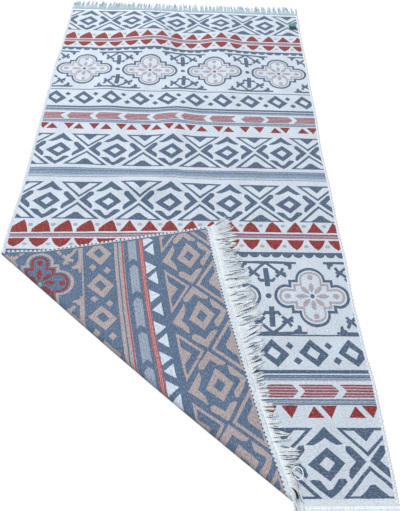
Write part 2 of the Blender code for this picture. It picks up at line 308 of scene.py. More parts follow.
def arrow(left, right, left_tip, right_tip):
    """One arrow. The tips say how far its two ends lie to the right at half its height."""
    step = ARROW_HEIGHT / ARROW_ROWS
    shapes = []
    for k in range(ARROW_ROWS):
        ends = []
        for y in (k * step, (k + 1) * step):
            near_tip = 1 - abs(2 * y / ARROW_HEIGHT - 1)
            ends.append((left + left_tip * near_tip, right + right_tip * near_tip, y))
        (a, b, y0), (c, d, y1) = ends
        yarn = "wine_edge" if k in (0, ARROW_ROWS - 1) else ("wine", "rose")[k % 2]
        shapes.append((yarn, [(a, y0), (b, y0), (d, y1), (c, y1)]))
    return shapes


def arrow_band():
    """Arrows of fine red and pink weft stripes that point away from the one at x = 610."""
    shapes = []
    for k in range(7):
        left = ARROW_START - ARROW_PITCH * k
        shapes += arrow(left, left + 67, -11, -13)
    shapes += arrow(588, 634, -13, 12)
    shapes += arrow(647, 714, 12, 13)
    shapes += arrow(729, 812, 12, 0)
    return shapes


def ring_band():
    """Leaning diamond rings, 59 mm high, with two small diamonds between each pair."""
    ring = [
        ("blue", [(-4, 59), (31, 25), (4, 0), (-31.5, 30)]),
        ("white", [(-5, 42), (12.5, 28.5), (3.5, 16), (-15, 29)]),
        ("blue", [(32, 53), (42, 44), (34, 36), (24, 44)]),
        ("blue", [(46, 21), (56, 13), (47, 4), (37, 12)]),
    ]
    shapes = []
    for k in range(10):
        shapes += moved(ring, RING_START + RING_PITCH * k, 0)
    return shapes


def quatrefoil(inset):
    """A four-lobed outline with stepped corners, drawn in by inset. Foot is half an upright lobe's width."""
    foot = 35 - 0.85 * inset
    quarter = arc(0, 41, foot, 32 - inset, 90, 0)
    quarter += [(foot - 0.5, 41.5 - inset), (52 - inset, 41.5 - inset), (52 - inset, 28 - inset)]
    quarter += arc(58, 0, 29 - inset, 29.5 - inset, 90, 0)
    upper = quarter + [(x, -y) for x, y in quarter[-2::-1]]
    return upper + [(-x, y) for x, y in upper[-2:0:-1]]


# The petals: direction in degrees, start, end and half width
PETALS = ((0, 9, 40, 5.5), (45, 9, 35, 5.2), (90, 10, 34, 5.5), (135, 9, 35, 5.2))


def medallion_band():
    """Quatrefoil medallions with petals inside, and sprigs above and below between them."""
    medal = [
        ("blue", quatrefoil(0)),
        ("white", quatrefoil(6.8)),
        ("beige", quatrefoil(10.6)),
        ("white", quatrefoil(16.2)),
        oval("blue", 0, 0, 5, 5.5),
        oval("beige", 0, 48, 6.5, 7),
        oval("beige", 2, -48, 6.5, 7),
        oval("beige", 55, 0, 8, 6.5),
        oval("beige", -57, 0, 8, 6.5),
    ]
    for direction, near, far, half in PETALS:
        widest = near + (far - near) * 0.55
        petal = [(near, -1), (widest - 6, -half), (widest + 5, -half), (far, 0)]
        petal += [(x, -y) for x, y in petal[2::-1]]
        for turn in (math.radians(direction), math.radians(direction + 180)):
            c, s = math.cos(turn), math.sin(turn)
            medal.append(("beige", [(x * c - y * s, x * s + y * c) for x, y in petal]))
    sprig = [
        ("blue", [(-68, 83), (-20, 83), (-4, 80), (10, 83), (46, 82), (72, 82), (71, 88), (40, 89), (0, 90),
                  (-67, 89)]),
        stroke("blue", [(-2, 85), (-14, 75), (-27, 63), (-40, 49)], 6.6),
        stroke("blue", [(-41, 74), (-33, 62), (-17, 49)], 7.6),
        stroke("blue", [(-41, 60), (-33, 58), (-24, 63)], 6.0),
        stroke("blue", [(-1, 85), (15, 73), (30, 60), (45, 49)], 6.6),
        stroke("blue", [(39, 71), (33, 59), (21, 48)], 7.6),
        stroke("blue", [(20, 62), (30, 57), (45, 58)], 6.0),
        ("blue", [(-8, 71), (4, 72), (6, 50), (6, 24), (-6, 24), (-7, 50)]),
        ("blue", [(-23, 43), (-16, 34.5), (0, 36), (14, 34.5), (21, 44), (16, 47), (11, 42), (0, 44),
                  (-13, 42), (-18, 47)]),
        ("blue", [(44, 86), (61, 84), (60, 70), (53, 67), (51, 76), (42, 80)]),
        ("blue", [(-46, 86), (-60, 84), (-58, 71), (-52, 68), (-51, 76), (-43, 80)]),
    ]
    shapes = []
    for k in range(4):
        shapes += moved(medal, MEDALLION_START + MEDALLION_PITCH * k, MEDALLION_LINE)
    for k in range(5):
        x = SPRIG_START + MEDALLION_PITCH * k
        shapes += moved(sprig, x, MEDALLION_LINE)
        shapes += moved(sprig, x + 4, MEDALLION_LINE - 1, -1)
        shapes.append(oval("blue", x, MEDALLION_LINE, 7, 6.5))
    return shapes


# How far the dome band sags at the left edge: height in the band, sag
DOME_SAG = ((0, 0), (9, 2.5), (31, 5.5), (42, 8), (53, 11), (84, 5), (92, 3))
DOME_SAG_ENDS = 380
DOME_PLACES = (24, 77, 129, 181, 233, 283, 332, 381, 430, 480, 530, 579, 634, 687, 739, 788)


def between(table, u):
    """The values of a table at u, on straight lines between its rows."""
    for one, two in zip(table, table[1:]):
        if u <= two[0]:
            part = (u - one[0]) / (two[0] - one[0])
            return [a + (b - a) * part for a, b in zip(one[1:], two[1:])]
    return table[-1][1:]


def dome_sag(x, y):
    """How far the ribbon and the domes hang down towards the left edge."""
    return max(1 - x / DOME_SAG_ENDS, 0.0) * between(DOME_SAG, y)[0]


# The first dome leans and is used at the left. The others are a leaning triangle, a dome and a triangle.
DOMES = (
    [(-20, 0), (-20, 8), (-12, 17), (0, 27), (7, 31), (13, 22), (18, 9), (21, 0)],
    [(-21, 0), (-11, 14), (0, 27), (6, 31), (15, 15), (20, 0)],
    [(-21, 0), (-18, 9), (-9, 24), (0, 31), (11, 20), (18, 8), (21, 0)],
    [(-22, 0), (-11, 15), (-2, 29), (0, 30), (10, 16), (21, 0)],
)
LEANING_DOMES = 5
RIBBON_ROWS = (("rose", 35, 36.2), ("pink", 36.2, 40), ("mist", 40, 42.4), ("pink", 42.4, 46.4),
               ("wine", 46.4, 48.2))


def dome_band():
    """Red domes and triangles back to back on a striped ribbon, 85 mm high, with beige dots between."""
    shapes = []
    for k, x in enumerate(DOME_PLACES):
        leaning = k < LEANING_DOMES
        up = DOMES[0] if leaning else DOMES[1 + (k * 5 + k // 3) % 3]
        down = DOMES[1 + (k * 3 + 1) % 3]
        wide = 1.1 if leaning else 1.0
        shapes.append(("red", [(x + px * wide, 53 + py) for px, py in up]))
        shapes.append(("red", [(x - 1 + px * wide, 31 - py * 0.92) for px, py in down]))
        shapes.append(oval("beige", x + 25, 72, 6, 4.2))
        shapes.append(oval("beige", x + 23, 13, 6, 4.2))
    steps = [DOME_SAG_ENDS * k / 4 for k in range(5)] + [WIDTH_MM]
    for yarn, low, high in RIBBON_ROWS:
        shapes.append((yarn, [(x, low) for x in steps] + [(x, high) for x in reversed(steps)]))
    return [(yarn, [(x, y - dome_sag(x, y)) for x, y in points]) for yarn, points in shapes]


def scallop_band():
    """A blue stripe edged with half-round scallops."""
    shapes = [box("blue", 0, WIDTH_MM, 9, 15.5)]
    for k in range(31):
        shapes.append(("blue", arc(SCALLOP_START + SCALLOP_PITCH * k, 9.5, 12, -9.5, 0, 180, 6)))
    return shapes


# The plain stripes: rows of (yarn, low, high)
LINE_ROWS = (("ink", 0, 3), ("haze", 3, 4.6), ("ink", 4.6, 6.2), ("haze", 6.2, 7.8), ("ink", 7.8, 11))
PAIR_ROWS = (("mist", 0, 1.4), ("lilac", 1.4, 4.6), ("mist", 4.6, 6), ("blue", 6, 8.4), ("mist", 8.4, 9.2),
             ("blue", 9.2, 11.7), ("blue", 14.5, 21.8))
MIDDLE_ROWS = (("mist", 0, 1.4), ("lilac", 1.4, 3.6), ("mist", 5.6, 11), ("steel", 11, 15),
               ("mist", 15, 16.2), ("steel", 16.2, 22), ("ink", 22, 24), ("steel", 24, 27),
               ("mist", 27, 29), ("ink", 29, 31.5))
THIN_ROWS = (("blue", 0, 3.3),)
# The bands, and the lower lines of each one's two turns
BANDS = (
    (diamond_band(), (11, 780)),
    (small_triangle_band(), (144.5, 915.5)),
    (stripe_band(LINE_ROWS), (169.5, 943.5)),
    (arrow_band(), (183.5, 957.5)),
    (stripe_band(PAIR_ROWS), (216, 989.5)),
    (ring_band(), (244, 1019)),
    (stripe_band(THIN_ROWS), (309.5, 1083)),
    (medallion_band(), (314, 1095)),
    (scallop_band(), (502, 1279)),
    (dome_band(), (521, 1299)),
    (diamond_band(), (605, 1390)),
    (stripe_band(MIDDLE_ROWS), (738,)),
)


# Plain margins along the long edges, plain bands at the ends, and lock stitches along the near band
MARGIN_LEFT = 8
MARGIN_RIGHT = 6.5
NEAR_BAND = 10.5
FAR_BAND = 9
LOCK_STITCH_PITCH = 8.0
LOCK_STITCH_LONG = 3.6
LOCK_STITCH_ROWS = (8.2, 11)


def pattern():
    """Every shape of the cloth: the bands, then the margins and stitches over them."""
    shapes = []
    for band, lows in BANDS:
        for low in lows:
            shapes += moved(band, 0, low)
    shapes.append(box("white", 0, MARGIN_LEFT, 0, LENGTH_MM))
    shapes.append(box("white", WIDTH_MM - MARGIN_RIGHT, WIDTH_MM, 0, LENGTH_MM))
    shapes.append(box("plain", 0, WIDTH_MM, 0, NEAR_BAND))
    shapes.append(box("plain", 0, WIDTH_MM, LENGTH_MM - FAR_BAND, LENGTH_MM))
    for k in range(int(WIDTH_MM / LOCK_STITCH_PITCH)):
        x = (k + 0.25) * LOCK_STITCH_PITCH
        shapes.append(box("lock_stitch", x, x + LOCK_STITCH_LONG, *LOCK_STITCH_ROWS))
    return shapes


# The cloth's mesh: the pattern's outlines, rows along the fold and an even grid, joined into triangles
# while flat. Outlines wander a little, as drawn lines do when threads step across them.
WANDER_MM = 0.9
WANDER_SCALE_MM = 17.0
# Greatest steps along the cloth's own edge, a figure's outline and a stripe's
EDGE_STEP_MM = 12.0
OUTLINE_STEP_MM = 9.0
STRIPE_STEP_MM = 26.0
# What is wider or lower than this is a stripe
STRIPE_WIDTH_MM = 400.0
STRIPE_HEIGHT_MM = 4.0
# Points this near to a long edge don't wander
STILL_EDGE_MM = 0.5
# Side of the squares that faces are sorted into to look up their yarn
CELL_MM = 10.0
GRID_STEP = 0.0135
BEND_START_ROW = 0.0015
BEND_STEP = 0.0032
SETTLE_STEP = 0.0080
PAST_SETTLE = 0.0100
MM = 0.001


def wandered(x, y):
    at = Vector((x, y, 0)) / WANDER_SCALE_MM
    dx = noise.noise(at) * WANDER_MM
    dy = noise.noise(at + Vector((31.7, 5.2, 9.1))) * WANDER_MM
    return x + dx, y + dy


def clipped(outline, side, limit):
    """Cuts an outline off at x = limit. Side 1 keeps what is right of it and -1 what is left of it."""
    kept = []
    for (ax, ay), (bx, by) in zip(outline, outline[1:] + outline[:1]):
        a_in, b_in = (ax - limit) * side >= 0, (bx - limit) * side >= 0
        if a_in:
            kept.append((ax, ay))
        if a_in != b_in:
            kept.append((limit, ay + (by - ay) * (limit - ax) / (bx - ax)))
    return kept


def finer(outline, step):
    points = []
    for (ax, ay), (bx, by) in zip(outline, outline[1:] + outline[:1]):
        count = max(1, math.ceil(math.hypot(bx - ax, by - ay) / step))
        points += [(ax + (bx - ax) * k / count, ay + (by - ay) * k / count) for k in range(count)]
    return points


def fold_distances():
    """Distances past the fold line that need a row of points."""
    radius, start = BEND_RADIUS[1], BEND_START[1]
    bend_end = start + radius * (math.pi + SETTLE_ANGLE)
    settle_end = bend_end + settle_run(radius) + SETTLE_RADIUS * SETTLE_ANGLE
    rows = []
    t = BEND_START_ROW
    while t < bend_end:
        rows.append(t)
        t += BEND_STEP
    while t < settle_end + PAST_SETTLE:
        rows.append(t)
        t += SETTLE_STEP
    return rows


def fold_row(t):
    """Where a row parallel to the fold meets the left edge and the near end."""
    at_left = (t + FOLD_A.dot(OUTWARD)) / OUTWARD.y
    at_near = (t + FOLD_A.dot(OUTWARD)) / OUTWARD.x
    return Vector((0.0, at_left)), Vector((at_near, 0.0))


def holds(outline, x, y):
    """Whether a point is inside an outline."""
    inside = False
    ax, ay = outline[-1]
    for bx, by in outline:
        if (ay > y) != (by > y) and x < ax + (bx - ax) * (y - ay) / (by - ay):
            inside = not inside
        ax, ay = bx, by
    return inside


def extent(outline):
    xs, ys = zip(*outline)
    return min(xs), max(xs), min(ys), max(ys)


def face_yarns(flat, faces, shapes):
    """The yarn of each face: that of the last shape which holds its middle, or else the white ground."""
    cells = {}
    middles = []
    for k, face in enumerate(faces):
        middle = sum((flat[i] for i in face), Vector((0, 0))) / (3 * MM)
        middles.append(middle)
        cells.setdefault((int(middle.x // CELL_MM), int(middle.y // CELL_MM)), []).append(k)
    yarns = ["white"] * len(faces)
    for yarn, outline in shapes:
        left, right, low, high = [int(side // CELL_MM) for side in extent(outline)]
        for i in range(left, right + 1):
            for j in range(low, high + 1):
                for k in cells.get((i, j), ()):
                    if holds(outline, *middles[k]):
                        yarns[k] = yarn
    return yarns


def weave_flat():
    """Flat points, triangles and each triangle's yarn."""
    points, edges, shapes = [], [], []

    def add_loop(outline):
        first = len(points)
        for x, y in outline:
            points.append(Vector((min(max(x * MM, 0.0), WIDTH), min(max(y * MM, 0.0), LENGTH))))
        last = len(points) - 1
        edges.extend((k, k + 1 if k < last else first) for k in range(first, last + 1))

    add_loop(finer([(0, 0), (WIDTH_MM, 0), (WIDTH_MM, LENGTH_MM), (0, LENGTH_MM)], EDGE_STEP_MM))
    for yarn, outline in pattern():
        outline = clipped(clipped(outline, 1, 0.0), -1, WIDTH_MM)
        if len(outline) < 3:
            continue
        left, right, low, high = extent(outline)
        is_stripe = right - left > STRIPE_WIDTH_MM or high - low < STRIPE_HEIGHT_MM
        outline = finer(outline, STRIPE_STEP_MM if is_stripe else OUTLINE_STEP_MM)
        outline = [wandered(x, y) if STILL_EDGE_MM <= x <= WIDTH_MM - STILL_EDGE_MM else (x, y)
                   for x, y in outline]
        add_loop(outline)
        shapes.append((yarn, outline))
    for t in fold_distances():
        a, b = fold_row(t)
        edges.append((len(points), len(points) + 1))
        points.extend([a, b])
    columns = round(WIDTH / GRID_STEP)
    rows = round(LENGTH / GRID_STEP)
    for j in range(1, rows):
        for i in range(1, columns):
            shift = 0.25 if j % 2 else -0.25
            points.append(Vector(((i + shift) * WIDTH / columns, j * LENGTH / rows)))
    flat, _, faces, *_ = geometry.delaunay_2d_cdt(points, edges, [], 0, 1e-6)
    faces = [tuple(face) for face in faces]
    return flat, faces, face_yarns(flat, faces, shapes)


def channels(hex_colour):
    return [int(hex_colour[k:k + 2], 16) for k in (1, 3, 5)]


def linear(hex_colour):
    """Turns an sRGB hex colour to the linear values that a shader takes."""
    values = [value / 255 for value in channels(hex_colour)]
    return [v / 12.92 if v <= 0.04045 else ((v + 0.055) / 1.055) ** 2.4 for v in values] + [1.0]


def mixed(one, two, part):
    """A hex colour part of the way from one to two."""
    pairs = zip(channels(one), channels(two))
    return "#" + "".join(f"{round(a + (b - a) * part):02X}" for a, b in pairs)


def add_node(tree, kind, links=(), **settings):
    """Adds a node. Settings set its properties, or its inputs by name. Links are (input, output socket)."""
    node = tree.nodes.new(kind)
    for name, value in settings.items():
        if hasattr(node, name):
            setattr(node, name, value)
        else:
            node.inputs[name.replace("_", " ")].default_value = value
    for name, socket in links:
        tree.links.new(socket, node.inputs[name])
    return node


def new_material(name, **inputs):
    """A material, its node tree and its shader, with some of the shader's inputs set by name."""
    material = bpy.data.materials.new(name)
    material.use_nodes = True
    shader = material.node_tree.nodes["Principled BSDF"]
    for title, value in inputs.items():
        shader.inputs[title.replace("_", " ")].default_value = value
    return material, material.node_tree, shader


def set_stops(ramp, *stops):
    """Gives a colour ramp its stops: (position, hex colour). The first two are the ones that it has."""
    elements = ramp.color_ramp.elements
    for k, (position, colour) in enumerate(stops):
        stop = elements[k] if k < 2 else elements.new(position)
        stop.position = position
        stop.color = linear(colour)


# The weave's flecks: length along the weft and across it, then the size of its fainter clouds, in metres
SLUB_LONG = 0.0052
SLUB_WIDE = 0.0024
CLOUD_SIZE = 0.045


def woven_cotton(name, colour, light, dark, fleck):
    """Matt cotton in a tight plain weave. Flecks of lighter and darker yarn, longer along the weft, give the
    heathered look; the thread spacing of about 1 mm is drawn at 2.4 mm, the least that shows."""
    material, tree, shader = new_material(name, Sheen_Weight=0.12, Sheen_Roughness=0.6,
                                          Specular_IOR_Level=0.2)
    flat = add_node(tree, "ShaderNodeUVMap", uv_map="cloth_flat").outputs["UV"]
    slub = add_node(tree, "ShaderNodeMapping", [("Vector", flat)], Scale=(1 / SLUB_LONG, 1 / SLUB_WIDE, 1.0))
    grain = add_node(tree, "ShaderNodeTexNoise", [("Vector", slub.outputs[0])],
                     Scale=1.0, Detail=2.0, Roughness=0.6)
    cloud = add_node(tree, "ShaderNodeTexNoise", [("Vector", flat)], Scale=1 / CLOUD_SIZE, Detail=2.0)
    ramp = add_node(tree, "ShaderNodeValToRGB", [("Fac", grain.outputs["Fac"])])
    set_stops(ramp, (0.5 - fleck, dark), (0.5 + fleck, light), (0.5, colour))
    shade = add_node(tree, "ShaderNodeMapRange", [("Value", cloud.outputs["Fac"])],
                     From_Min=0.3, From_Max=0.7, To_Min=0.94, To_Max=1.05)
    tinted = add_node(tree, "ShaderNodeVectorMath", [(0, ramp.outputs["Color"]), (1, shade.outputs[0])],
                      operation="MULTIPLY")
    tree.links.new(tinted.outputs[0], shader.inputs["Base Color"])
    rough = add_node(tree, "ShaderNodeMapRange", [("Value", grain.outputs["Fac"])],
                     To_Min=0.86, To_Max=0.98)
    tree.links.new(rough.outputs[0], shader.inputs["Roughness"])
    relief = add_node(tree, "ShaderNodeBump", [("Height", grain.outputs["Fac"])],
                      Strength=0.45, Distance=0.0011)
    tree.links.new(relief.outputs[0], shader.inputs["Normal"])
    return material


# Each side's materials: name, what its light and dark flecks are mixed with, fleck strength
SIDES = (
    ("woven_cotton_", ("#FFFFFF", 0.30), ("#3A4A66", 0.16), 0.20),
    ("woven_cotton_back_", ("#F2F4F8", 0.24), ("#2C3A58", 0.30), 0.18),
)
# The back's flecks are taken this far off, so as not to repeat the face's
BACK_SHIFT = 2.0
# Both sides share one square page for baking, side by side in metres
PAGE_SIZE = 1.64
PAGE_STEP = 0.82
PAGE_MARGIN = 0.005


def build_cloth():
    """The cloth's face, its back and the walls between them, as one closed skin."""
    flat, faces, yarns = weave_flat()
    count = len(flat)
    half = THICKNESS / 2
    points = [surface_point(p.x, p.y, half) for p in flat] + [surface_point(p.x, p.y, -half) for p in flat]
    a, b, c = (flat[i] for i in faces[0])
    if (b - a).cross(c - a) < 0:
        faces = [face[::-1] for face in faces]
    directed = {(face[k], face[(k + 1) % len(face)]) for face in faces for k in range(len(face))}
    walls = [(a, a + count, b + count, b) for a, b in sorted(directed) if (b, a) not in directed]
    back = [tuple(i + count for i in reversed(face)) for face in faces]
    mesh = bpy.data.meshes.new("kilim_cloth")
    mesh.from_pydata(points, [], faces + back + walls)
    names = list(YARNS)
    for side, (prefix, light, dark, fleck) in enumerate(SIDES):
        for name in names:
            colour = YARNS[name][side]
            lighter, darker = mixed(colour, *light), mixed(colour, *dark)
            mesh.materials.append(woven_cotton(prefix + name, colour, lighter, darker, fleck))
    slots = [names.index(yarn) for yarn in yarns]
    slots += [len(names) + slot for slot in slots] + [names.index("white")] * len(walls)
    mesh.polygons.foreach_set("material_index", slots)
    across = mesh.uv_layers.new(name="cloth_flat")
    baked = mesh.uv_layers.new(name="OFBake")
    sides = [0] * len(faces) + [1] * len(faces) + [0] * len(walls)
    for polygon, side in zip(mesh.polygons, sides):
        for loop in polygon.loop_indices:
            p = flat[mesh.loops[loop].vertex_index % count]
            across.data[loop].uv = (p.x + BACK_SHIFT * side, p.y)
            page_x = p.x + PAGE_STEP * side + PAGE_MARGIN
            baked.data[loop].uv = (page_x / PAGE_SIZE, (p.y + PAGE_MARGIN) / PAGE_SIZE)
    mesh.shade_smooth()
    mesh.set_sharp_from_angle(angle=math.radians(50))
    return put_in_scene("kilim_cloth", mesh)


cloth = build_cloth()
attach(cloth, "root")
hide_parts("cloth")


# Both long edges are overlocked with white cotton thread: it zigzags on the face, goes round the edge and
# takes a short, narrow stitch on the back, which shows as white beads where the corner is folded over. A
# straight needle line holds it at its inner side.
OVERLOCK_PITCH = 0.0094
OVERLOCK_WIDTH = 0.0052
OVERLOCK_RADIUS = 0.00110
NEEDLE_RADIUS = 0.00060
# Where the needle line lies, as a part of the stitch's width, and the steps that it is drawn in
NEEDLE_REACH = 0.82
NEEDLE_STEP = 0.012
# How uneven the stitches are: parts of the width, and part of the pitch that one slips along
STITCH_WIDTHS = (0.85, 1.1)
STITCH_SLIP = 0.12
# Where the thread goes round the cloth's edge, and how near to the ends it stays, in metres
PAST_EDGE = -0.0009
ENDS_IN = 0.001
# Points of the thread nearer to each other than this are left out
NEAREST_POINTS = 0.0004
# One stitch: pitches along, part of the width inwards or PAST_EDGE, and side of the cloth
STITCH = (
    (0.00, PAST_EDGE, 0), (0.05, 0.0, 1), (0.30, 0.55, 1), (0.46, 1.0, 1), (0.58, 1.0, 1),
    (0.76, 0.5, 1), (0.95, 0.0, 1), (1.00, PAST_EDGE, 0),
    (0.80, 0.0, -1), (0.84, 0.40, -1), (0.94, 0.65, -1), (1.06, 0.65, -1), (1.16, 0.40, -1), (1.20, 0.0, -1),
)
THREAD = "#F8FBFD"
THREAD_SHADE = "#DDE6EC"
THREAD_PLY_PITCH = 0.0016
# Scale at which the wave texture's slanting bands lie one unit apart
WAVE_SCALE = 0.314
FUZZ_SIZE = 0.004


def twisted_cotton(name, colour, shade, pitch):
    """Soft, matt cotton yarn, its plies shown as slanting bands of light and shade one pitch apart."""
    material, tree, shader = new_material(name, Roughness=0.92, Specular_IOR_Level=0.2, Sheen_Weight=0.15)
    along = add_node(tree, "ShaderNodeUVMap", uv_map="yarn_metres").outputs["UV"]
    plies = add_node(tree, "ShaderNodeTexWave", [("Vector", along)], wave_type="BANDS",
                     bands_direction="DIAGONAL", Scale=WAVE_SCALE / pitch, Distortion=0.6, Detail=1.0)
    fuzz = add_node(tree, "ShaderNodeTexNoise", [("Vector", along)], Scale=1 / FUZZ_SIZE, Detail=2.0)
    blend = add_node(tree, "ShaderNodeMath", [(0, plies.outputs["Fac"]), (1, fuzz.outputs["Fac"])],
                     operation="MULTIPLY")
    ramp = add_node(tree, "ShaderNodeValToRGB", [("Fac", blend.outputs[0])])
    set_stops(ramp, (0.02, shade), (0.34, colour))
    tree.links.new(ramp.outputs["Color"], shader.inputs["Base Color"])
    relief = add_node(tree, "ShaderNodeBump", [("Height", plies.outputs["Fac"])],
                      Strength=0.25, Distance=0.0003)
    tree.links.new(relief.outputs[0], shader.inputs["Normal"])
    return material


# Each side of a yarn is this wide in its UV map, in metres
YARN_SIDE_UV = 0.001


def yarn_mesh(name, lines, sides, material):
    """Tubes along lines of (place, radius), with a UV map of metres along and round each yarn."""
    points, faces, uvs = [], [], []
    for line in lines:
        ahead = (line[1][0] - line[0][0]).normalized()
        across = ahead.orthogonal().normalized()
        rings = []
        run = 0.0
        for k, (place, radius) in enumerate(line):
            one = line[max(k - 1, 0)][0]
            two = line[min(k + 1, len(line) - 1)][0]
            turned = (two - one).normalized()
            across = (across - turned * across.dot(turned)).normalized()
            up = turned.cross(across)
            if k:
                run += (place - line[k - 1][0]).length
            first = len(points)
            points += [place + (across * math.cos(a) + up * math.sin(a)) * radius
                       for a in (2 * math.pi * i / sides for i in range(sides))]
            rings.append((first, run))
        for (a, run_a), (b, run_b) in zip(rings, rings[1:]):
            for i in range(sides):
                j = (i + 1) % sides
                faces.append((a + i, a + j, b + j, b + i))
                low, high = i * YARN_SIDE_UV, (i + 1) * YARN_SIDE_UV
                uvs += [(run_a, low), (run_a, high), (run_b, high), (run_b, low)]
        for ring, order in ((rings[0], -1), (rings[-1], 1)):
            faces.append(tuple(range(ring[0], ring[0] + sides))[::order])
            uvs += [(ring[1], 0.0)] * sides
    mesh = bpy.data.meshes.new(name)
    mesh.from_pydata(points, [], faces)
    layer = mesh.uv_layers.new(name="yarn_metres")
    layer.data.foreach_set("uv", [value for uv in uvs for value in uv])
    mesh.materials.append(material)
    mesh.shade_smooth()
    return put_in_scene(name, mesh)


def overlock_lines(edge_u, inward, seed):
    """The wrapping thread and the needle thread of one long edge."""
    random.seed(seed)
    half = THICKNESS / 2
    wrap, needle = [], []
    count = round(LENGTH / OVERLOCK_PITCH)
    pitch = LENGTH / count
    for k in range(count):
        v = (k + 0.5) * LENGTH / count
        width = OVERLOCK_WIDTH * random.uniform(*STITCH_WIDTHS)
        slip = random.uniform(-STITCH_SLIP, STITCH_SLIP) * pitch
        for part, reach, side in STITCH:
            in_u = reach * width if reach > 0 else reach
            at_v = v + (part - 0.5) * pitch + slip * reach
            at_v = min(max(at_v, ENDS_IN), LENGTH - ENDS_IN)
            lift = side * (half + OVERLOCK_RADIUS / 4)
            wrap.append((edge_u + inward * in_u, at_v, lift))
    needle_u = edge_u + inward * OVERLOCK_WIDTH * NEEDLE_REACH
    for k in range(round(LENGTH / NEEDLE_STEP) + 1):
        v = min(ENDS_IN + NEEDLE_STEP * k, LENGTH - ENDS_IN)
        needle.append((needle_u, v, half + NEEDLE_RADIUS / 2))
    lines = []
    for path, radius in ((wrap, OVERLOCK_RADIUS), (needle, NEEDLE_RADIUS)):
        line = []
        for u, v, off in path:
            place = surface_point(u, v, off)
            place.z = max(place.z, radius)
            if not line or (place - line[-1][0]).length > NEAREST_POINTS:
                line.append((place, radius))
        lines.append(line)
    # On the back the needle line shows only where the corner is turned over
    back = [surface_point(u, v, -off) for u, v, off in needle]
    lines.append([(place, NEEDLE_RADIUS) for place in back if place.z > 2 * THICKNESS])
    return [line for line in lines if len(line) > 2]


thread = twisted_cotton("overlock_cotton_thread", THREAD, THREAD_SHADE, THREAD_PLY_PITCH)
for name, edge_u, inward, seed in (("overlock_left", 0.0, 1, 11), ("overlock_right", WIDTH, -1, 12)):
    stitches = yarn_mesh(name, overlock_lines(edge_u, inward, seed), 5, thread)
    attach(stitches, "root")


# The fringes are the cloth's own cotton warp yarns, left loose past each end. Where the corner is folded
# over they spring from the turned cloth and fall on the floor or on the face, and they gather into locks.
YARN_PITCH = 0.00138
YARN_RADIUS = 0.00068
YARN_STEPS = 9
YARN_PLY_PITCH = 0.0022
LOCK_PITCH = 0.0066
# What each lock gets by chance: lean, part of the length, how far it draws together, and curl
LOCK_LEAN = 0.10
LOCK_LENGTHS = (0.80, 1.03)
LOCK_DRAWS = (0.25, 0.60)
LOCK_CURL = 0.9
# What each yarn gets by chance: place in its pitch, part of the length, lean, part of the lift, and curl
YARN_PLACES = (0.2, 0.6)
YARN_LENGTHS = (0.86, 1.04)
YARN_LEAN = 0.035
YARN_LIFTS = (0.6, 1.2)
YARN_CURL = 1.6
# The yarns leave the cloth in two layers: parts of the height up to where a yarn is flush
LAYER_HEIGHTS = (-0.3, 0.7)
LAYER_RISE = 0.0009
BUMP_RISE = 0.0007
# Half the step over the cloth's end that gives a yarn its first heading, and one across it
ROOT_STEP = 0.0006
SIDE_STEP = 0.002
DRAW_STRENGTH = 1.6
GRAVITY = 60.0
BOUNCE = 0.3
CURL_TURN = 1.7
# A yarn is thicker at its root, and thins fast at first and then slowly
ROOT_THICKNESS = 1.7
ROOT_TAPER = 0.22
TIP_TAPER = 0.35
# From the first u on, over the spread, the yarns turn down towards the near end in one thick bundle, and
# from the second u on they hang so from their roots
BUNDLE_U = 0.542
ROOT_BUNDLE_U = 0.572
BUNDLE_SPREAD = 0.018
# How they lean in it: all alike, and how many times their lock's lean. Then how strongly they turn.
SHEAF = (0.06, 2.2)
SHEAF_PULL = 0.38
ROOT_SHEAF = (0.10, 2.4)
ROOT_SHEAF_PULL = 0.9
# How the flap's yarns lie: u, part of the full reach, lean
FLAP_LIE = (
    (0.000, 0.95, 0.62), (0.015, 0.98, 0.25), (0.040, 0.95, -0.05), (0.100, 0.90, -0.05),
    (0.140, 1.02, 0.00), (0.240, 1.03, 0.14), (0.300, 0.93, 0.18), (0.330, 0.76, 0.20),
    (0.370, 0.49, 0.22), (0.400, 0.42, -0.10), (0.440, 0.46, -0.32), (0.480, 0.62, -0.28),
    (0.520, 0.80, -0.15), (0.540, 0.78, -0.10), (0.552, 0.80, -0.10), (0.570, 0.95, -0.10),
    (0.590, 1.00, -0.10), (0.640, 1.00, 0.00),
)
YARN = "#F4FAFE"
YARN_SHADE = "#E2ECF3"
# The far fringe's copy of the same cotton, darker and bluer: painted shade and painted bluish light at the
# far end
FAR_YARN_PAINTED_SHADE = "#C8DDE8"
FAR_PAINTED_SHADE_PLY = "#A6C1D1"
# Colours of those strands: painted shade for the shadowed gaps between the locks
PAINTED_GAP_SHADE = "#6C8090"
GAP_SHADE_STRAND_DEEP = "#52667A"
# Part of the yarns, on the flap and elsewhere, that get a short dark strand of painted shade over them
FLAP_GAP_SHADE_PART = 0.080
FLAT_GAP_SHADE_PART = 0.088
GAP_SHADE_STRAND_RADIUS = 0.0006
GAP_SHADE_STRAND_RISE = 0.0009
GAP_SHADE_STRAND_STARTS = (3, 4, 5)
GAP_SHADE_STRAND_POINTS = 4


def under_yarn(place):
    """Height of what lies under a yarn: the floor, or the cloth's face."""
    u, v = place.x + MIDDLE_U, place.y + MIDDLE_V
    if 0.0 < v < LENGTH and 0.0 < u < WIDTH:
        return THICKNESS + ridge_height(u, v)
    return 0.0


def new_lock():
    lean = random.gauss(0, LOCK_LEAN)
    length = random.uniform(*LOCK_LENGTHS)
    draw = random.uniform(*LOCK_DRAWS)
    return lean, length, draw, random.gauss(0, LOCK_CURL)


def part_past(u, start):
    return min(max((u - start) / BUNDLE_SPREAD, 0.0), 1.0)


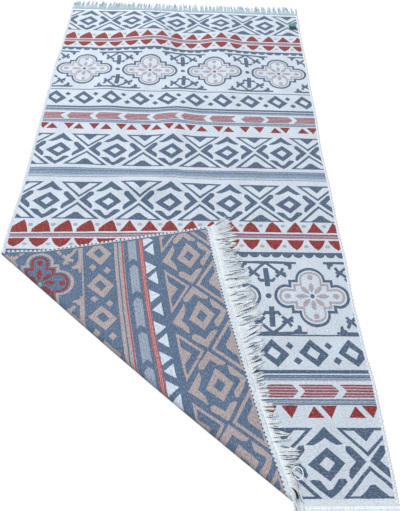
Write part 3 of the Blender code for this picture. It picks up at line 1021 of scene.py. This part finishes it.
def fallen_yarn(root, heading, length, curl, layer, hang, lock_lean):
    """One yarn from its root, bent by its own weight until it rests on what is under it."""
    place = root.copy()
    line = [(place.copy(), YARN_RADIUS * ROOT_THICKNESS)]
    step = length / YARN_STEPS
    bump = random.uniform(0.0, 1.0) * BUMP_RISE + layer * LAYER_RISE
    for j in range(YARN_STEPS):
        turn = Matrix.Rotation(curl * step * math.sin(CURL_TURN * j), 3, "Z")
        heading = turn @ heading
        if hang and j > 1:
            down = Vector((SHEAF[0] + SHEAF[1] * lock_lean, -1.0, heading.z))
            heading = heading.lerp(down, SHEAF_PULL * hang)
            heading.normalize()
        place = place + heading * step
        rest = under_yarn(place) + YARN_RADIUS + bump * (1 - 0.6 * j / YARN_STEPS)
        if place.z > rest:
            heading.z -= GRAVITY * step * (0.35 + 0.65 * j / YARN_STEPS)
            heading.normalize()
        if place.z < rest:
            place.z = rest
            heading.z = max(heading.z, 0.0) * BOUNCE
            heading.normalize()
        taper = max(1.0 - TIP_TAPER * (j + 1) / YARN_STEPS, ROOT_THICKNESS - ROOT_TAPER * (j + 1))
        line.append((place.copy(), YARN_RADIUS * taper))
    return line


def fringe_lines(end_v, sign, low_u, high_u, full, lean, lift, lie, seed):
    """Yarns from one end of the cloth between two u values. Lie is a table of how they lie, or None."""
    random.seed(seed)
    lines = []
    locks = {}
    for k in range(int(low_u / YARN_PITCH), int(high_u / YARN_PITCH)):
        for layer, layer_height in enumerate(LAYER_HEIGHTS):
            u = (k + 0.5 * layer + random.uniform(*YARN_PLACES)) * YARN_PITCH
            if not low_u < u < high_u:
                continue
            number = int(u / LOCK_PITCH)
            if number not in locks:
                locks[number] = new_lock()
            lock_lean, lock_length, lock_draw, lock_curl = locks[number]
            centre = (number + 0.5) * LOCK_PITCH
            height = (THICKNESS / 2 - YARN_RADIUS) * layer_height
            root = surface_point(u, end_v - sign * ROOT_STEP, height)
            heading = (surface_point(u, end_v + sign * ROOT_STEP, height) - root).normalized()
            length = full * lock_length * random.uniform(*YARN_LENGTHS)
            if lie:
                part, lean = between(lie, u)
                length *= part
            side = Vector((-heading.y, heading.x, 0))
            mirrored = 1 if (surface_point(u + SIDE_STEP, end_v) - root).dot(side) > 0 else -1
            pull = (centre - u) * lock_draw / length * mirrored
            heading += side * (lean + lock_lean + pull * DRAW_STRENGTH + random.gauss(0, YARN_LEAN))
            heading.z += lift * random.uniform(*YARN_LIFTS)
            hang = 0.0
            if lie:
                hang = part_past(u, BUNDLE_U)
                down = Vector((ROOT_SHEAF[0] + ROOT_SHEAF[1] * lock_lean, -1.0, 0.0))
                heading = heading.lerp(down, ROOT_SHEAF_PULL * part_past(u, ROOT_BUNDLE_U))
            heading.normalize()
            curl = lock_curl + random.gauss(0, YARN_CURL)
            lines.append(fallen_yarn(root, heading, length, curl, layer, hang, lock_lean))
    return lines


fringe_cotton = twisted_cotton("fringe_cotton_yarn", YARN, YARN_SHADE, YARN_PLY_PITCH)
# The far fringe is the same cotton, with painted shade and painted bluish light
far_cotton_painted_shade = twisted_cotton("fringe_cotton_painted_far_shade", FAR_YARN_PAINTED_SHADE, FAR_PAINTED_SHADE_PLY, YARN_PLY_PITCH)
gap_shade_material = twisted_cotton("fringe_cotton_yarn_dark", PAINTED_GAP_SHADE, GAP_SHADE_STRAND_DEEP, YARN_PLY_PITCH)
first_u, last_u = ENDS_IN, WIDTH - ENDS_IN
# Each fringe: name, node, end, direction, first and last u, full length, lean, lift, how it lies, seed
for name, node, end_v, sign, low_u, high_u, full, lean, lift, lie, seed in (
    ("far_fringe_yarns", "fringe_far", LENGTH, 1, first_u, last_u, 0.060, 0.02, 0.42, None, 21),
    ("near_fringe_yarns", "fringe_near", 0.0, -1, FOLD_B.x, last_u, 0.062, 0.0, 0.0, None, 22),
    ("flap_fringe_yarns", "fringe_flap", 0.0, -1, first_u, FOLD_B.x, 0.063, 0.0, 0.0, FLAP_LIE, 23),
):
    lines = fringe_lines(end_v, sign, low_u, high_u, full, lean, lift, lie, seed)
    # Some yarns get a short dark strand laid just over them: painted shade for the gaps between locks
    gap_shade_part = FLAP_GAP_SHADE_PART if lie else FLAT_GAP_SHADE_PART
    dark = []
    for line in lines:
        if random.random() < gap_shade_part:
            first = random.choice(GAP_SHADE_STRAND_STARTS)
            shaded_span = [place for place, radius in line[first:first + GAP_SHADE_STRAND_POINTS]]
            dark.append([(place + Vector((0.0, 0.0, GAP_SHADE_STRAND_RISE)), GAP_SHADE_STRAND_RADIUS) for place in shaded_span])
    yarns = yarn_mesh(name, lines, 4, far_cotton_painted_shade if sign > 0 else fringe_cotton)
    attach(yarns, "root")
    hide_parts(node)
    yarns = yarn_mesh(name + "_dark", dark, 4, gap_shade_material)
    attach(yarns, "root")


# One yarn stands up as a loose loop beside the bend: an arc, in degrees, that is tipped a little
LOOP_MIDDLE = Vector((0.2245, -0.7020, 0.0078))
LOOP_REACH = (0.0080, 0.0104, 0.0022)
LOOP_START = -150
LOOP_SWEEP = 300
LOOP_STEPS = 24
LOOP_TIP = 0.6
LOOP_RADIUS = 0.0010
loop = []
for k in range(LOOP_STEPS + 1):
    a = math.radians(LOOP_START + LOOP_SWEEP * k / LOOP_STEPS)
    turned = (math.cos(a), math.sin(a), math.cos(a + LOOP_TIP))
    offset = Vector([reach * part for reach, part in zip(LOOP_REACH, turned)])
    loop.append((LOOP_MIDDLE + offset, LOOP_RADIUS))
loop_yarn = yarn_mesh("loose_loop_yarn", [loop], 6, fringe_cotton)
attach(loop_yarn, "root")


# The label is a small woven polyester tape in two colours with nothing on it, stitched down along its two
# short sides.
LABEL_WIDTH = 0.024
LABEL_LENGTH = 0.040
LABEL_THICKNESS = 0.0008
LABEL_U = 0.777
LABEL_V = 1.447
# Its height over the cloth, and its swell between the stitches
LABEL_GAP = 0.0003
LABEL_SWELL = 0.0006
LABEL_GRID = (12, 16)
# Part of its length, from the near end, that is black
LABEL_BLACK_PART = 0.45
LABEL_TEAL = "#4C9494"
LABEL_BLACK = "#1E2B38"
# How many times finer than the cloth's its weave is
LABEL_FINENESS = 4
LABEL_FLECK = 0.2


def build_label():
    """The tape: its underside, its top and the rim between them. Both sides follow the cloth."""
    across, along = LABEL_GRID
    row = across + 1
    low = THICKNESS / 2 + LABEL_GAP
    points, faces, slots = [], [], []
    for side in (0, 1):
        for j in range(along + 1):
            for i in range(across + 1):
                a, b = 2 * i / across - 1, 2 * j / along - 1
                corner = 1 - 0.03 * (a * b) ** 4
                swell = LABEL_SWELL * (1 - a ** 4) * (1 - b ** 8) * (1 + 0.25 * math.sin(5 * b + a))
                lift = low + side * (LABEL_THICKNESS * 0.5 + swell)
                points.append(surface_point(LABEL_U + a * corner * LABEL_WIDTH / 2,
                                            LABEL_V + b * corner * LABEL_LENGTH / 2, lift))
    ring = row * (along + 1)
    for j in range(along):
        for i in range(across):
            a = j * row + i
            quad = (a, a + 1, a + row + 1, a + row)
            faces.append(quad[::-1])
            faces.append(tuple(k + ring for k in quad))
            slots += [int(j < along * LABEL_BLACK_PART)] * 2
    rim = list(range(row)) + [(j + 1) * row - 1 for j in range(1, along + 1)]
    rim += [along * row + i for i in range(across - 1, -1, -1)] + [j * row for j in range(along - 1, 0, -1)]
    black_end = LABEL_V - (0.5 - LABEL_BLACK_PART) * LABEL_LENGTH
    for a, b in zip(rim, rim[1:] + rim[:1]):
        faces.append((a, b, b + ring, a + ring))
        slots.append(int(points[a].y + MIDDLE_V < black_end))
    mesh = bpy.data.meshes.new("label_tape")
    mesh.from_pydata(points, [], faces)
    layer = mesh.uv_layers.new(name="cloth_flat")
    for loop in mesh.loops:
        layer.data[loop.index].uv = points[loop.vertex_index].xy * LABEL_FINENESS
    for ending, colour in (("teal", LABEL_TEAL), ("black", LABEL_BLACK)):
        lighter, darker = mixed(colour, "#FFFFFF", 0.12), mixed(colour, "#000000", 0.2)
        name = "label_woven_polyester_" + ending
        mesh.materials.append(woven_cotton(name, colour, lighter, darker, LABEL_FLECK))
    mesh.polygons.foreach_set("material_index", slots)
    mesh.shade_smooth()
    mesh.set_sharp_from_angle(angle=math.radians(40))
    return put_in_scene("label_tape", mesh)


label = build_label()
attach(label, "root")
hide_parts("label")
# Six stitches at each short side. One is an arch: distance along it in metres, part of its full height.
LABEL_STITCH_ARCH = ((0.0, 0.2), (0.0007, 1.0), (0.0017, 1.15), (0.0027, 1.0), (0.0034, 0.2))
LABEL_STITCH_HEIGHT = 0.0011
LABEL_STITCH_RADIUS = 0.00028
label_stitches = []
for end in (-1, 1):
    for k in range(6):
        u = LABEL_U + LABEL_WIDTH * (-0.42 + 0.168 * k)
        v = LABEL_V + end * LABEL_LENGTH * 0.44
        places = [surface_point(u + du, v, THICKNESS / 2 + LABEL_STITCH_HEIGHT * part)
                  for du, part in LABEL_STITCH_ARCH]
        label_stitches.append([(place, LABEL_STITCH_RADIUS) for place in places])
stitches = yarn_mesh("label_stitches", label_stitches, 5, thread)
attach(stitches, "root")


# Floor and light: a back-lit floor of matt white acrylic that only the camera sees glow, as in a cut-out
# photograph, an even white sky all round, and one large soft box from behind on the left.
FLOOR_ACRYLIC = "#7C7E80"
FLOOR_LIGHT = "#FFFFFF"
FLOOR_GLOW = 0.88
FLOOR_SIZE = 12
FLOOR_DROP = 0.0002
SKY_LIGHT = 0.64
KEY_PLACE = (-2.2, 2.2, 3.4)
KEY_AIM = (0.0, 0.1, 0.0)
KEY_SIZE = 2.2
KEY_WATTS = 156
bpy.ops.mesh.primitive_plane_add(size=FLOOR_SIZE, location=(0, 0, -FLOOR_DROP))
floor = bpy.context.object
floor.name = "studio_floor"
acrylic, tree, shader = new_material("back_lit_white_acrylic", Base_Color=linear(FLOOR_ACRYLIC),
                                     Emission_Color=linear(FLOOR_LIGHT), Roughness=0.9,
                                     Specular_IOR_Level=0.1)
seen = add_node(tree, "ShaderNodeLightPath").outputs["Is Camera Ray"]
glow = add_node(tree, "ShaderNodeMath", [(0, seen)], operation="MULTIPLY")
glow.inputs[1].default_value = FLOOR_GLOW
tree.links.new(glow.outputs[0], shader.inputs["Emission Strength"])
floor.data.materials.append(acrylic)

world = bpy.data.worlds.new("studio")
world.use_nodes = True
sky = world.node_tree.nodes["Background"]
sky.inputs["Color"].default_value = (1.0, 1.0, 1.0, 1.0)
sky.inputs["Strength"].default_value = SKY_LIGHT
bpy.context.scene.world = world

key_light = bpy.data.lights.new("key_soft_box", "AREA")
key_light.shape = "SQUARE"
key_light.size = KEY_SIZE
key_light.energy = KEY_WATTS
key = put_in_scene("key_soft_box", key_light)
key.location = KEY_PLACE
key.rotation_euler = (Vector(KEY_AIM) - Vector(KEY_PLACE)).to_track_quat("-Z", "Y").to_euler()
bpy.context.scene.view_settings.view_transform = "Standard"
